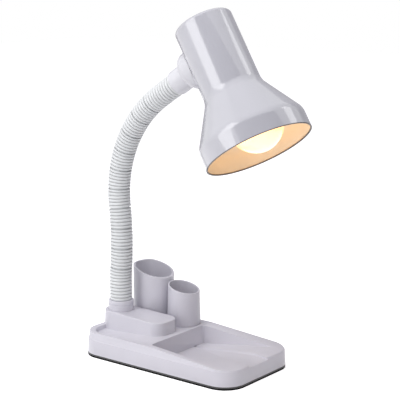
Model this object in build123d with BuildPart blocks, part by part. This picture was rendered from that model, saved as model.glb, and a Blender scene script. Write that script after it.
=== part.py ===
from build123d import *
from math import atan, cos, degrees, radians, sin, tan
import os

os.makedirs("parts", exist_ok=True)

# Gooseneck desk lamp on an organiser base: millimetres, +Z up.
# The origin is the middle of the face that the base rests on. The long way of the
# base is Y with its front at -Y, the pen cups stand at +X and the pen groove at -X.

# ---------------------------------------------------------------- driving sizes
BASE_LENGTH = 206.0
BASE_WIDTH = 115.8
BASE_CORNER = 24.4
PAD_THICKNESS = 1.6
PLATE_THICKNESS = 1.8
CREASE_HEIGHT = 19.0
DECK_HEIGHT = 27.2
DECK_FRONT_HEIGHT = 19.5
SLOPE_START = 6.7
LOWER_DRAFT = 0.8
LEDGE = 0.7
UPPER_DRAFT = 0.9
CREASE_ROUND = 0.5
DECK_ROUND = 0.4
WALL = 2.4

TRAY_LEFT = -49.0
TRAY_RIGHT = 40.0
TRAY_REAR = 6.7
TRAY_FRONT = -85.0
TRAY_DRAFT = 1.2
TRAY_CORNER = 3.0
TRAY_REAR_HEIGHT = 6.5
NOTCH_DEPTH = 1.9
NOTCH_LEFT = -23.0
NOTCH_RIGHT = 10.0
CHANNEL_TIP_X = 25.0
CHANNEL_BANK = 45.0

GROOVE_OUTER = -52.0
GROOVE_REAR = 93.0
GROOVE_CORNER = 17.5
GROOVE_DEPTH = 6.0
GROOVE_FADE_INNER = (-30.0, 22.0)
GROOVE_FADE_OUTER = (-45.0, 5.0)

NECK_X = -8.45
NECK_Y = 84.1
BOSS_HALF_WIDTH = 18.55
BOSS_FRONT = 13.9
BOSS_FRONT_CORNER = 13.7
BOSS_DRAFT = 3.2
BOSS_REAR = 101.9
BOSS_TOP_AT_ORIGIN = 41.1
BOSS_TOP_SLOPE = 0.03
BOSS_ROUND = 1.2
BOSS_WALL = 3.4
BOSS_CHAMBER_TOP = 38.4
CHAMBER_INSET = 4.8
GROOVE_CHAMBER_TOP = 18.8
CLEAR = 1.0
BEYOND = 120.0
POST_RADIUS = 4.0
POST_X = 46.0
POST_REAR_Y = 88.0
POST_FRONT_Y = -90.0
SCREW_RADIUS = 1.3
SCREW_HEAD_RADIUS = 3.0
SCREW_LENGTH = 10.0
INLET_X = 25.0
INLET_HEIGHT = 11.0
INLET_RADIUS = 4.5
INLET_FLANGE_RADIUS = 6.5
INLET_BACK_RADIUS = 5.5
WEIGHT_SIZE = (76.0, 62.0, 10.0)
WEIGHT_Y = 51.0
WEIGHT_CORNER = 4.0
SCREW_HEAD_HEIGHT = 1.0
SCREW_SLOT = 0.6
INLET_LIP = 1.5
INLET_BORE = 3.3
BLOCK_SIZE = (24.0, 10.0, 9.0)
BLOCK_Y = 88.5
WIRE_RADIUS = 1.6
FIT = 0.15
RUNNING_FIT = 0.08
COLLAR_LINE = 0.5
NIPPLE_STAND = 6.0

COLLAR_RADIUS = 13.9
COLLAR_FOOT = 42.4
COLLAR_GROOVE = 50.2
COLLAR_TOP = 54.7
NIPPLE_RADIUS = 5.0
NIPPLE_BORE = 3.2
NIPPLE_HOLE = 5.08
NUT_ACROSS_FLATS = 14.0
NUT_HEIGHT = 4.0
WASHER_RADIUS = 11.0
WASHER_THICKNESS = 1.5

CUP_WALL = 2.4
CUP_FLOOR = 3.0
CUP_RECESS = 1.2
SMALL_CUP_AT = (34.35, 29.1)
SMALL_CUP_FOOT_RADIUS = 18.7
SMALL_CUP_DRAFT = 1.5
SMALL_CUP_RIM_HEIGHT = 68.7
SMALL_CUP_TILT = 14.6
LARGE_CUP_AT = (33.25, 71.7)
LARGE_CUP_FOOT_RADIUS = 22.9
LARGE_CUP_RIM_HEIGHT = 83.4
LARGE_CUP_TILT = 17.4
CUP_ROUND = 0.8

# The ribbed sleeve's centreline is a chain of (length, turn in degrees); the first
# and the last run are straight and square to the collars.
NECK_RUNS = ((24.0, 0.0), (9.0, 5.3), (73.0, -11.5), (69.0, 30.4), (74.8, 32.66), (27.7, 0.0))
RIB_PITCH = 3.7
RIB_COUNT = 75
RIB_CREST = 12.3
RIB_ROOT = 10.9
RIB_ROOT_GAP = 0.15
RIB_CREST_GAP = 0.9
SEGMENTS = 11
MIDDLE_RIBS = 6
BALL_RADIUS = 9.9
SOCKET_RADIUS = 10.2
HINGE_ROOT = 10.9
HINGE_ROOT_GAP = 0.85
HINGE_CREST_GAP = 0.98
SLEEVE_BORE = 5.0
CORE_RADIUS = 4.9
CORE_BORE = 3.2
CORE_SETBACK = 10.0
CORE_OVERRUN = 7.5

# The head: the shade's axis is square to the neck's end and meets it inside the cap.
HEAD_REACH = 59.9
HEAD_SWIVEL = 4.2
CAP_RADIUS = 30.6
CAP_TOP = 37.5
CAP_EDGE = 35.5
CAP_CROWN = 12.0
CAP_CROWN_ROUND = 140.0
CAP_ROUND = 3.6
CONE_START = 44.8
CONE_START_ROUND = 18.0
CONE_END = 88.9
CONE_END_ROUND = 14.0
SHADE_RADIUS = 56.2
SHADE_MOUTH = 109.1
SHADE_WALL = 0.9
HEM_THICKNESS = 1.6
HEM_HEIGHT = 1.2
RIM_ROUND = 0.3
UPPER_COLLAR_RADIUS = 13.5
UPPER_COLLAR_LENGTH = 18.7
UPPER_COLLAR_LEAD = 0.7
DISC_RADIUS = 21.0
DISC_RISE = 8.8
DISC_CHEEK_RADIUS = 18.8
DISC_CHEEK_RISE = 2.6
DISC_HOLLOW_RADIUS = 17.0
DISC_HUB_RADIUS = 8.0
SWIVEL_GAP = 0.3
SADDLE_GAP = 0.2
FLANGE_RADIUS = 7.8
FLANGE_THICKNESS = 2.0
CHAMBER_RADIUS = 8.1
SWIVEL_NUT_HEIGHT = 3.5
SWIVEL_WASHER = 0.7
BRACKET_REACH = 26.5
BRACKET_THICKNESS = 1.5
BRACKET_HALF_WIDTH = 8.0
BRACKET_FOOT = 9.0

# The lampholder hangs off the shade's axis, on a bracket turned a little less than the shade.
HOLDER_SWIVEL = 1.5
HOLDER_OFFSET = 5.3
HOLDER_RADIUS = 19.0
HOLDER_TOP = -28.5
HOLDER_SHOULDER = 12.0
HOLDER_JOINT = -9.0
HOLDER_MOUTH = 25.0
HOLDER_FLOOR = 6.0
HOLDER_WALL = 1.8
THREAD_RADIUS = 13.2
BULB_RADIUS = 28.5
BULB_CENTRE = 84.0
BULB_NECK = 27.0
BULB_CAP_ROUND = 4.0
BULB_CAP_WALL = 1.0
BULB_GLASS = 1.0
CONTACT_WIDTH = 5.0
CONTACT_HEIGHT = 2.0

# ---------------------------------------------------------------- helpers
shell_foot = PAD_THICKNESS + PLATE_THICKNESS
lower_angle = degrees(atan(LOWER_DRAFT / (CREASE_HEIGHT - shell_foot)))
upper_angle = degrees(atan(UPPER_DRAFT / (DECK_HEIGHT - CREASE_HEIGHT)))
upper_inset = LOWER_DRAFT + LEDGE
deck_slope = (DECK_HEIGHT - DECK_FRONT_HEIGHT) / (SLOPE_START + BASE_LENGTH / 2)
ramp_front_height = DECK_HEIGHT - deck_slope * (SLOPE_START - TRAY_FRONT)
ramp_slope = (ramp_front_height - TRAY_REAR_HEIGHT) / (TRAY_REAR - TRAY_FRONT)
ramp_stretch = 1 / cos(atan(ramp_slope))


def rising_plane(height, y, slope):
    """A plane through (y, height) that is level along X and rises by slope along +Y."""
    return Plane(origin=(0, y, height), x_dir=(1, 0, 0), z_dir=(0, -slope, 1))


def section_plane(origin, along, side):
    """A plane whose X is a radius and whose Y runs along an axis, for turned pieces."""
    return Plane(origin=origin, x_dir=side, z_dir=side.cross(along))


deck_plane = rising_plane(DECK_HEIGHT, SLOPE_START, deck_slope)
notch_plane = rising_plane(DECK_HEIGHT - NOTCH_DEPTH, SLOPE_START, deck_slope)
ramp_plane = rising_plane(TRAY_REAR_HEIGHT, TRAY_REAR, -ramp_slope)
channel_plane = rising_plane(TRAY_REAR_HEIGHT - NOTCH_DEPTH, TRAY_REAR, -ramp_slope)
boss_top_plane = rising_plane(BOSS_TOP_AT_ORIGIN, 0, BOSS_TOP_SLOPE)

# ---------------------------------------------------------------- spaces in the base
# The tray: straight walls with a little draft, and a floor that ramps up to the rim.
with BuildPart() as tray_space:
    with BuildSketch(Plane.XY.offset(DECK_HEIGHT)):
        with Locations(((TRAY_LEFT + TRAY_RIGHT) / 2, TRAY_REAR - BEYOND / 2)):
            Rectangle(TRAY_RIGHT - TRAY_LEFT, BEYOND)
        fillet(vertices().group_by(Axis.Y)[-1], TRAY_CORNER)
    extrude(amount=-DECK_HEIGHT, taper=degrees(atan(TRAY_DRAFT / DECK_HEIGHT)))
    extrude(tray_space.faces().sort_by(Axis.Z)[-1], amount=CLEAR)
    split(bisect_by=ramp_plane, keep=Keep.TOP)

# A shallow three-cornered channel in the ramp, with sloping banks, widens into a notch in
# the front rim. Along the ramp, a length on plan is drawn out by the ramp's slope.
channel_tip = -TRAY_CORNER * ramp_stretch
channel_end = (TRAY_FRONT - TRAY_REAR) * ramp_stretch
with BuildPart() as channel_space:
    with BuildSketch(channel_plane):
        with BuildLine():
            Polyline(
                (CHANNEL_TIP_X, channel_tip),
                (NOTCH_RIGHT, channel_end),
                (NOTCH_LEFT, channel_end),
                close=True,
            )
        make_face()
    extrude(amount=NOTCH_DEPTH + CLEAR / 2, taper=-CHANNEL_BANK)

with BuildPart() as notch_space:
    with BuildSketch(Plane.XY):
        with Locations(((NOTCH_LEFT + NOTCH_RIGHT) / 2, TRAY_FRONT - BEYOND / 2)):
            Rectangle(NOTCH_RIGHT - NOTCH_LEFT, BEYOND)
    extrude(amount=DECK_HEIGHT)
    split(bisect_by=notch_plane, keep=Keep.TOP)

# The pen groove beside the boss: deepest at its rear end, fading out to the front.
fade_start = Vector(*GROOVE_FADE_OUTER)
fade_line = (Vector(*GROOVE_FADE_INNER) - fade_start).normalized()
fade_across = Vector(-fade_line.Y, fade_line.X)
deepest_run = (Vector(GROOVE_OUTER, GROOVE_REAR) - fade_start).dot(fade_across)
groove_fall = GROOVE_DEPTH / deepest_run
groove_plane = Plane(
    origin=(GROOVE_FADE_OUTER[0], GROOVE_FADE_OUTER[1], DECK_HEIGHT),
    z_dir=(groove_fall * fade_across.X, groove_fall * fade_across.Y, 1),
)
with BuildPart() as groove_space:
    with BuildSketch(Plane.XY.offset(shell_foot)):
        with Locations(((GROOVE_OUTER + NECK_X) / 2, GROOVE_REAR - BEYOND / 2)):
            Rectangle(NECK_X - GROOVE_OUTER, BEYOND)
        fillet(vertices().group_by(Axis.Y)[-1].sort_by(Axis.X)[0], GROOVE_CORNER)
    extrude(amount=DECK_HEIGHT)
    split(bisect_by=groove_plane, keep=Keep.TOP)

# The hollow underside: under the deck, inside the boss, under the ramp and the right rim.
with BuildPart() as underside_space:
    with BuildSketch(Plane.XY.offset(shell_foot - CLEAR)):
        RectangleRounded(
            BASE_WIDTH - 2 * CHAMBER_INSET,
            BASE_LENGTH - 2 * CHAMBER_INSET,
            BASE_CORNER - CHAMBER_INSET,
        )
        with Locations((0, TRAY_REAR + WALL + BEYOND / 2)):
            Rectangle(BEYOND, BEYOND, mode=Mode.INTERSECT)
    extrude(amount=GROOVE_CHAMBER_TOP - shell_foot + CLEAR)
    with BuildSketch(Plane.XY.offset(GROOVE_CHAMBER_TOP - CLEAR)):
        RectangleRounded(
            BASE_WIDTH - 2 * CHAMBER_INSET,
            BASE_LENGTH - 2 * CHAMBER_INSET,
            BASE_CORNER - CHAMBER_INSET,
        )
        with Locations((NECK_X - BOSS_HALF_WIDTH + WALL + BEYOND / 2, TRAY_REAR + WALL + BEYOND / 2)):
            Rectangle(BEYOND, BEYOND, mode=Mode.INTERSECT)
    extrude(amount=DECK_HEIGHT - WALL - CUP_RECESS - GROOVE_CHAMBER_TOP + CLEAR)
    with BuildSketch(Plane.XY.offset(GROOVE_CHAMBER_TOP - CLEAR)):
        with Locations((NECK_X, NECK_Y)):
            Circle(BOSS_HALF_WIDTH - BOSS_WALL)
        with Locations((NECK_X, (NECK_Y + BOSS_FRONT + BOSS_WALL) / 2)):
            Rectangle(2 * (BOSS_HALF_WIDTH - BOSS_WALL), NECK_Y - BOSS_FRONT - BOSS_WALL)
        fillet(vertices().group_by(Axis.Y)[0], BOSS_FRONT_CORNER - BOSS_WALL)
    extrude(amount=BOSS_CHAMBER_TOP - GROOVE_CHAMBER_TOP + CLEAR)

with BuildPart() as ramp_chamber:
    with BuildSketch(Plane.XY.offset(shell_foot - CLEAR)):
        RectangleRounded(
            BASE_WIDTH - 2 * CHAMBER_INSET,
            BASE_LENGTH - 2 * CHAMBER_INSET,
            BASE_CORNER - CHAMBER_INSET,
        )
        with Locations(((TRAY_LEFT + TRAY_RIGHT) / 2, TRAY_REAR - WALL - BEYOND / 2)):
            Rectangle(TRAY_RIGHT - TRAY_LEFT - WALL, BEYOND, mode=Mode.INTERSECT)
    extrude(amount=DECK_HEIGHT)
    split(bisect_by=channel_plane.offset(-WALL), keep=Keep.BOTTOM)
    split(bisect_by=notch_plane.offset(-WALL), keep=Keep.BOTTOM)

with BuildPart() as rim_chamber:
    with BuildSketch(Plane.XY.offset(shell_foot - CLEAR)):
        RectangleRounded(
            BASE_WIDTH - 2 * CHAMBER_INSET,
            BASE_LENGTH - 2 * CHAMBER_INSET,
            BASE_CORNER - CHAMBER_INSET,
        )
        with Locations((TRAY_RIGHT + WALL + BEYOND / 2, (TRAY_FRONT + TRAY_REAR) / 2)):
            Rectangle(BEYOND, TRAY_REAR - TRAY_FRONT, mode=Mode.INTERSECT)
    extrude(amount=DECK_HEIGHT)
    split(bisect_by=deck_plane.offset(-WALL), keep=Keep.BOTTOM)

# The boss that carries the neck: its top slopes up to the rear, its rear is cut flush.
boss_foot = CREASE_HEIGHT - CREASE_ROUND
boss_spread = (DECK_HEIGHT - boss_foot) * tan(radians(BOSS_DRAFT))
with BuildPart() as boss:
    with BuildSketch(Plane.XY.offset(boss_foot)):
        with Locations((NECK_X, NECK_Y)):
            Circle(BOSS_HALF_WIDTH + boss_spread)
        with Locations((NECK_X, (NECK_Y + BOSS_FRONT - boss_spread) / 2)):
            Rectangle(2 * (BOSS_HALF_WIDTH + boss_spread), NECK_Y - BOSS_FRONT + boss_spread)
        fillet(vertices().group_by(Axis.Y)[0], BOSS_FRONT_CORNER)
    extrude(amount=COLLAR_TOP - boss_foot, taper=BOSS_DRAFT)
    split(bisect_by=boss_top_plane, keep=Keep.BOTTOM)
    fillet(faces().sort_by(Axis.Z)[-1].edges(), BOSS_ROUND)
    split(bisect_by=Plane.XZ.offset(-BOSS_REAR), keep=Keep.TOP)

# ---------------------------------------------------------------- base shell
post_places = (
    (-POST_X, POST_REAR_Y),
    (POST_X, POST_REAR_Y),
    (-POST_X, POST_FRONT_Y),
    (POST_X, POST_FRONT_Y),
)
post_tops = (
    GROOVE_CHAMBER_TOP + CLEAR,
    DECK_HEIGHT - WALL,
    DECK_FRONT_HEIGHT - WALL,
    DECK_FRONT_HEIGHT - WALL,
)
with BuildPart() as base_shell:
    with BuildSketch(Plane.XY.offset(shell_foot)):
        RectangleRounded(BASE_WIDTH, BASE_LENGTH, BASE_CORNER)
    extrude(amount=CREASE_HEIGHT - shell_foot, taper=lower_angle)
    fillet(edges().group_by(Axis.Z)[-1], CREASE_ROUND)
    with BuildSketch(Plane.XY.offset(CREASE_HEIGHT)):
        RectangleRounded(
            BASE_WIDTH - 2 * upper_inset,
            BASE_LENGTH - 2 * upper_inset,
            BASE_CORNER - upper_inset,
        )
    extrude(amount=DECK_HEIGHT - CREASE_HEIGHT, taper=upper_angle)
    split(bisect_by=deck_plane, keep=Keep.BOTTOM)
    rims = faces().filter_by(lambda f: f.normal_at().Z > 0.99 and f.center().Z > CREASE_HEIGHT + CLEAR)
    fillet(rims.edges().filter_by(lambda e: abs(e.center().Y - SLOPE_START) > CLEAR), DECK_ROUND)
    add(groove_space.part, mode=Mode.SUBTRACT)
    add(boss.part)
    add(tray_space.part, mode=Mode.SUBTRACT)
    add(channel_space.part, mode=Mode.SUBTRACT)
    add(notch_space.part, mode=Mode.SUBTRACT)
    add(underside_space.part, mode=Mode.SUBTRACT)
    add(ramp_chamber.part, mode=Mode.SUBTRACT)
    add(rim_chamber.part, mode=Mode.SUBTRACT)
    # Seats for the collar and the two cups, the neck's hole and the cord inlet.
    with BuildSketch(Plane.XY.offset(COLLAR_FOOT)):
        with Locations((NECK_X, NECK_Y)):
            Circle(COLLAR_RADIUS + FIT)
    extrude(amount=COLLAR_FOOT, mode=Mode.SUBTRACT)
    with BuildSketch(Plane.XY.offset(BOSS_CHAMBER_TOP - CLEAR)):
        with Locations((NECK_X, NECK_Y)):
            Circle(NIPPLE_HOLE)
    extrude(amount=COLLAR_FOOT, mode=Mode.SUBTRACT)
    with BuildSketch(Plane.XY.offset(DECK_HEIGHT - CUP_RECESS)):
        with Locations(SMALL_CUP_AT):
            Circle(SMALL_CUP_FOOT_RADIUS + FIT)
        with Locations(LARGE_CUP_AT):
            Circle(LARGE_CUP_FOOT_RADIUS + FIT)
    extrude(amount=CUP_RECESS, mode=Mode.SUBTRACT)
    with BuildSketch(Plane.XZ.offset(-BASE_LENGTH / 2 - CLEAR)):
        with Locations((INLET_X, INLET_HEIGHT)):
            Circle(INLET_RADIUS)
    extrude(amount=2 * CHAMBER_INSET, mode=Mode.SUBTRACT)
    # Screw posts in the four corners, each up into the wall above it.
    for post_place, post_top in zip(post_places, post_tops):
        with BuildSketch(Plane.XY.offset(shell_foot)):
            with Locations(post_place):
                Circle(POST_RADIUS)
        extrude(amount=post_top - shell_foot)
    with BuildSketch(Plane.XY.offset(shell_foot)):
        with Locations(post_places):
            Circle(SCREW_RADIUS)
    extrude(amount=SCREW_LENGTH + CLEAR, mode=Mode.SUBTRACT)
base_shell.part.label = "base_shell"
export_step(base_shell.part, "parts/base_shell.step")

# ---------------------------------------------------------------- underside
with BuildPart() as base_pad:
    with BuildSketch(Plane.XY):
        RectangleRounded(BASE_WIDTH, BASE_LENGTH, BASE_CORNER)
        with Locations(post_places):
            Circle(SCREW_HEAD_RADIUS + CLEAR, mode=Mode.SUBTRACT)
    extrude(amount=PAD_THICKNESS)
base_pad.part.label = "base_pad"
export_step(base_pad.part, "parts/base_pad.step")

with BuildPart() as bottom_plate:
    with BuildSketch(Plane.XY.offset(PAD_THICKNESS)):
        RectangleRounded(BASE_WIDTH, BASE_LENGTH, BASE_CORNER)
        with Locations(post_places):
            Circle(SCREW_RADIUS + FIT, mode=Mode.SUBTRACT)
    extrude(amount=PLATE_THICKNESS)
bottom_plate.part.label = "bottom_plate"
export_step(bottom_plate.part, "parts/bottom_plate.step")

with BuildPart() as base_screws:
    with BuildSketch(Plane.XY.offset(PAD_THICKNESS - SCREW_HEAD_HEIGHT)):
        with Locations(post_places):
            Circle(SCREW_HEAD_RADIUS)
    extrude(amount=SCREW_HEAD_HEIGHT)
    with BuildSketch(Plane.XY.offset(PAD_THICKNESS)):
        with Locations(post_places):
            Circle(SCREW_RADIUS - RUNNING_FIT)
    extrude(amount=SCREW_LENGTH)
    with BuildSketch(Plane.XY.offset(PAD_THICKNESS - SCREW_HEAD_HEIGHT)):
        with Locations(post_places):
            Rectangle(SCREW_HEAD_RADIUS, SCREW_SLOT)
            Rectangle(SCREW_SLOT, SCREW_HEAD_RADIUS)
    extrude(amount=SCREW_SLOT, mode=Mode.SUBTRACT)
base_screws.part.label = "base_screws"
export_step(base_screws.part, "parts/base_screws.step")

with BuildPart() as ballast_weight:
    with BuildSketch(Plane.XY.offset(shell_foot)):
        with Locations((0, WEIGHT_Y)):
            RectangleRounded(WEIGHT_SIZE[0], WEIGHT_SIZE[1], WEIGHT_CORNER)
    extrude(amount=WEIGHT_SIZE[2])
    chamfer(edges().group_by(Axis.Z)[-1], CLEAR)
ballast_weight.part.label = "ballast_weight"
export_step(ballast_weight.part, "parts/ballast_weight.step")

# The rubber inlet in the rear wall, with a lip on each side of it, and the block where
# the wires meet.
inlet_plane = Plane.XZ.offset(-BASE_LENGTH / 2)
with BuildPart() as cord_inlet:
    with BuildSketch(inlet_plane):
        with Locations((INLET_X, INLET_HEIGHT)):
            Circle(INLET_FLANGE_RADIUS)
    extrude(amount=-INLET_LIP)
    with BuildSketch(inlet_plane):
        with Locations((INLET_X, INLET_HEIGHT)):
            Circle(INLET_RADIUS - FIT)
    extrude(amount=CHAMBER_INSET)
    with BuildSketch(inlet_plane.offset(CHAMBER_INSET)):
        with Locations((INLET_X, INLET_HEIGHT)):
            Circle(INLET_BACK_RADIUS)
    extrude(amount=INLET_LIP)
    with BuildSketch(inlet_plane.offset(-2 * INLET_LIP)):
        with Locations((INLET_X, INLET_HEIGHT)):
            Circle(INLET_BORE)
    extrude(amount=4 * CHAMBER_INSET, mode=Mode.SUBTRACT)
cord_inlet.part.label = "cord_inlet"
export_step(cord_inlet.part, "parts/cord_inlet.step")

with BuildPart() as terminal_block:
    with BuildSketch(Plane.XY.offset(shell_foot)):
        with Locations((NECK_X, BLOCK_Y)):
            Rectangle(BLOCK_SIZE[0], BLOCK_SIZE[1])
    extrude(amount=BLOCK_SIZE[2])
    chamfer(edges().filter_by(Axis.X).group_by(Axis.Z)[-1], CLEAR)
    with BuildSketch(Plane.XY.offset(shell_foot + BLOCK_SIZE[2])):
        with Locations((NECK_X, BLOCK_Y)):
            with GridLocations(BLOCK_SIZE[0] / 2, 1, 2, 1):
                Circle(WIRE_RADIUS)
    extrude(amount=-BLOCK_SIZE[2] / 2, mode=Mode.SUBTRACT)
terminal_block.part.label = "terminal_block"
export_step(terminal_block.part, "parts/terminal_block.step")

# ---------------------------------------------------------------- pen cups
small_rim_plane = rising_plane(SMALL_CUP_RIM_HEIGHT, SMALL_CUP_AT[1], tan(radians(SMALL_CUP_TILT)))
large_rim_plane = rising_plane(LARGE_CUP_RIM_HEIGHT, LARGE_CUP_AT[1], tan(radians(LARGE_CUP_TILT)))

with BuildPart() as pen_cup_small:
    with BuildSketch(Plane.XY.offset(DECK_HEIGHT - CUP_RECESS)):
        with Locations(SMALL_CUP_AT):
            Circle(SMALL_CUP_FOOT_RADIUS)
    extrude(amount=BEYOND / 2, taper=SMALL_CUP_DRAFT)
    split(bisect_by=small_rim_plane, keep=Keep.BOTTOM)
    with BuildSketch(Plane.XY.offset(DECK_HEIGHT - CUP_RECESS + CUP_FLOOR)):
        with Locations(SMALL_CUP_AT):
            Circle(SMALL_CUP_FOOT_RADIUS - CUP_WALL)
    extrude(amount=BEYOND, taper=SMALL_CUP_DRAFT / 2, mode=Mode.SUBTRACT)
    fillet(faces().sort_by(Axis.Z)[-1].edges(), CUP_ROUND)
pen_cup_small.part.label = "pen_cup_small"
export_step(pen_cup_small.part, "parts/pen_cup_small.step")

with BuildPart() as pen_cup_large:
    with BuildSketch(Plane.XY.offset(DECK_HEIGHT - CUP_RECESS)):
        with Locations(LARGE_CUP_AT):
            Circle(LARGE_CUP_FOOT_RADIUS)
    extrude(amount=BEYOND / 2 + CUP_FLOOR)
    split(bisect_by=large_rim_plane, keep=Keep.BOTTOM)
    with BuildSketch(Plane.XY.offset(DECK_HEIGHT - CUP_RECESS + CUP_FLOOR)):
        with Locations(LARGE_CUP_AT):
            Circle(LARGE_CUP_FOOT_RADIUS - CUP_WALL)
    extrude(amount=BEYOND, mode=Mode.SUBTRACT)
    fillet(faces().sort_by(Axis.Z)[-1].edges(), CUP_ROUND)
pen_cup_large.part.label = "pen_cup_large"
export_step(pen_cup_large.part, "parts/pen_cup_large.step")

# ---------------------------------------------------------------- neck, lower fixing
lower_section = section_plane(Vector(NECK_X, NECK_Y, 0), Vector(0, 0, 1), Vector(1, 0, 0))
lower_axis = Axis((NECK_X, NECK_Y, 0), (0, 0, 1))
with BuildPart() as neck_collar:
    with BuildSketch(lower_section):
        with BuildLine():
            Polyline(
                (NIPPLE_HOLE, COLLAR_FOOT),
                (COLLAR_RADIUS, COLLAR_FOOT),
                (COLLAR_RADIUS, COLLAR_GROOVE - COLLAR_LINE),
                (COLLAR_RADIUS - COLLAR_LINE, COLLAR_GROOVE),
                (COLLAR_RADIUS, COLLAR_GROOVE + COLLAR_LINE),
                (COLLAR_RADIUS, COLLAR_TOP - CLEAR),
                (COLLAR_RADIUS - CLEAR, COLLAR_TOP),
                (NIPPLE_HOLE, COLLAR_TOP),
                close=True,
            )
        make_face()
    revolve(axis=lower_axis)
neck_collar.part.label = "neck_collar"
export_step(neck_collar.part, "parts/neck_collar.step")

nipple_foot = BOSS_CHAMBER_TOP - WASHER_THICKNESS - NUT_HEIGHT - 2 * CLEAR
with BuildPart() as neck_nipple:
    with BuildSketch(Plane.XY.offset(nipple_foot)):
        with Locations((NECK_X, NECK_Y)):
            Circle(CORE_RADIUS)
            Circle(NIPPLE_BORE, mode=Mode.SUBTRACT)
    extrude(amount=COLLAR_TOP + NIPPLE_STAND - nipple_foot)
neck_nipple.part.label = "neck_nipple"
export_step(neck_nipple.part, "parts/neck_nipple.step")

with BuildPart() as neck_washer:
    with BuildSketch(Plane.XY.offset(BOSS_CHAMBER_TOP - WASHER_THICKNESS)):
        with Locations((NECK_X, NECK_Y)):
            Circle(WASHER_RADIUS)
            Circle(CORE_RADIUS + RUNNING_FIT, mode=Mode.SUBTRACT)
    extrude(amount=WASHER_THICKNESS)
neck_washer.part.label = "neck_washer"
export_step(neck_washer.part, "parts/neck_washer.step")

with BuildPart() as neck_nut:
    with BuildSketch(Plane.XY.offset(BOSS_CHAMBER_TOP - WASHER_THICKNESS - NUT_HEIGHT)):
        with Locations((NECK_X, NECK_Y)):
            RegularPolygon(NUT_ACROSS_FLATS / 2, 6, major_radius=False)
            Circle(CORE_RADIUS + RUNNING_FIT, mode=Mode.SUBTRACT)
    extrude(amount=NUT_HEIGHT)
neck_nut.part.label = "neck_nut"
export_step(neck_nut.part, "parts/neck_nut.step")

# ---------------------------------------------------------------- ribbed neck
def neck_station(distance):
    """The plane square to the neck's centreline, so far along it from the collar."""
    y = NECK_Y
    z = COLLAR_TOP
    heading = radians(90)
    left = distance
    for run_length, run_turn in NECK_RUNS:
        step = min(left, run_length)
        turn = radians(run_turn) * step / run_length
        chord = step * sin(turn / 2) / (turn / 2) if turn else step
        y += chord * cos(heading + turn / 2)
        z += chord * sin(heading + turn / 2)
        heading += turn
        left -= step
    y += left * cos(heading)
    z += left * sin(heading)
    return Plane(origin=(NECK_X, y, z), x_dir=(1, 0, 0), z_dir=(0, cos(heading), sin(heading)))


neck_length = RIB_COUNT * RIB_PITCH
end_ribs = (RIB_COUNT - MIDDLE_RIBS * (SEGMENTS - 2)) // 2
hinge_ribs = [end_ribs + MIDDLE_RIBS * i for i in range(SEGMENTS - 1)]
segment_ends = [0] + hinge_ribs + [RIB_COUNT]
bush_length = UPPER_COLLAR_LENGTH / 2

for number, (first_rib, last_rib) in enumerate(zip(segment_ends, segment_ends[1:]), start=1):
    start = first_rib * RIB_PITCH
    end = last_rib * RIB_PITCH
    hinged_below = number > 1
    hinged_above = number < SEGMENTS
    rings = []
    for rib in range(first_rib, last_rib):
        opens = rib == first_rib and hinged_below
        closes = rib == last_rib - 1 and hinged_above
        foot = rib * RIB_PITCH
        top = foot + RIB_PITCH
        foot_root = (foot + HINGE_ROOT_GAP, HINGE_ROOT) if opens else (foot + RIB_ROOT_GAP, RIB_ROOT)
        top_root = (top - HINGE_ROOT_GAP, HINGE_ROOT) if closes else (top - RIB_ROOT_GAP, RIB_ROOT)
        rings.append(foot_root)
        rings.append((foot + (HINGE_CREST_GAP if opens else RIB_CREST_GAP), RIB_CREST))
        rings.append((top - (HINGE_CREST_GAP if closes else RIB_CREST_GAP), RIB_CREST))
        rings.append(top_root)
    with BuildPart() as neck_sleeve:
        for distance, radius in rings:
            with BuildSketch(neck_station(distance)):
                Circle(radius)
        loft(ruled=True)
        if hinged_above:
            with Locations(neck_station(end).origin):
                Sphere(BALL_RADIUS)
        if hinged_below:
            with Locations(neck_station(start).origin):
                Sphere(SOCKET_RADIUS, mode=Mode.SUBTRACT)
        for rib in range(first_rib, last_rib + 1):
            with BuildSketch(neck_station(rib * RIB_PITCH)):
                Circle(SLEEVE_BORE)
        if hinged_above:
            with BuildSketch(neck_station(end + SOCKET_RADIUS)):
                Circle(SLEEVE_BORE)
        loft(ruled=True, mode=Mode.SUBTRACT)
    neck_sleeve.part.label = f"neck_sleeve_{number:02d}"
    export_step(neck_sleeve.part, f"parts/neck_sleeve_{number:02d}.step")

    core_start = start + CORE_SETBACK if hinged_below else NIPPLE_STAND
    core_end = end + CORE_OVERRUN if hinged_above else end + bush_length
    core_rings = [rib * RIB_PITCH for rib in range(first_rib, last_rib + 1)]
    core_rings = [core_start] + [distance for distance in core_rings if distance > core_start] + [core_end]
    with BuildPart() as neck_core:
        for distance in core_rings:
            with BuildSketch(neck_station(distance)):
                Circle(CORE_RADIUS)
        loft(ruled=True)
        for distance in core_rings:
            with BuildSketch(neck_station(distance)):
                Circle(CORE_BORE)
        loft(ruled=True, mode=Mode.SUBTRACT)
    neck_core.part.label = f"neck_core_{number:02d}"
    export_step(neck_core.part, f"parts/neck_core_{number:02d}.step")

# ---------------------------------------------------------------- head, swivel
neck_end = neck_station(neck_length)
neck_way = neck_end.z_dir
neck_side = Vector(1, 0, 0)


def hanging_way(swivel):
    """The way square to the neck's end that hangs down, turned about the neck by degrees."""
    down = neck_way.cross(neck_side) * -1
    return down * cos(radians(swivel)) - neck_side * sin(radians(swivel))


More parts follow.
